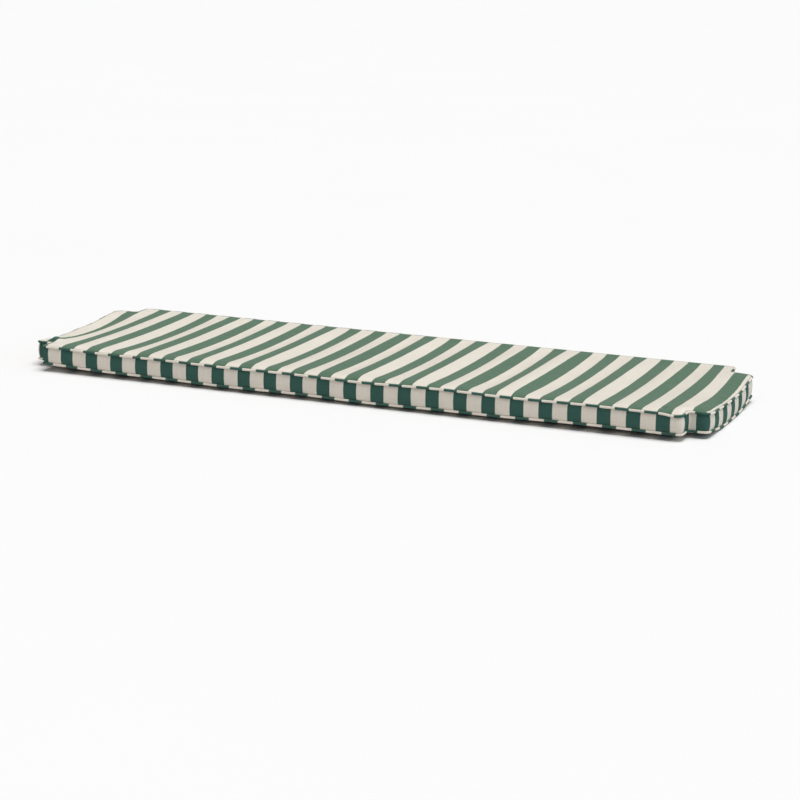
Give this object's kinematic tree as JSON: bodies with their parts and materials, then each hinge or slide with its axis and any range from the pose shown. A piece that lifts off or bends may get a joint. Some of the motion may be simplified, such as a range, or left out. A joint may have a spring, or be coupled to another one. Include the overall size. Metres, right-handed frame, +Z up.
{
  "type": "bench cushion",
  "caption": "Long flat seat cushion for a garden bench, striped, with corded seams and square notches at its corners.",
  "frame": {"origin": "on the plane the cushion lies on, under the middle of its bounding box", "axes": "+X along the cushion to its right-hand end seen from the front, -Y towards its front edge, +Z up out of its upper face"},
  "size_m": [1.574, 0.475, 0.0632],
  "materials": {
    "stripe_cloth": "matte woven canvas in broad green and off-white stripes; this is the off-white",
    "cord_cloth": "the same matte canvas over a cord; this is the green"
  },
  "bodies": {
    "root": {"cushion": "stripe_cloth", "piping_top": "cord_cloth", "piping_bottom": "cord_cloth"}
  },
  "joints": []
}
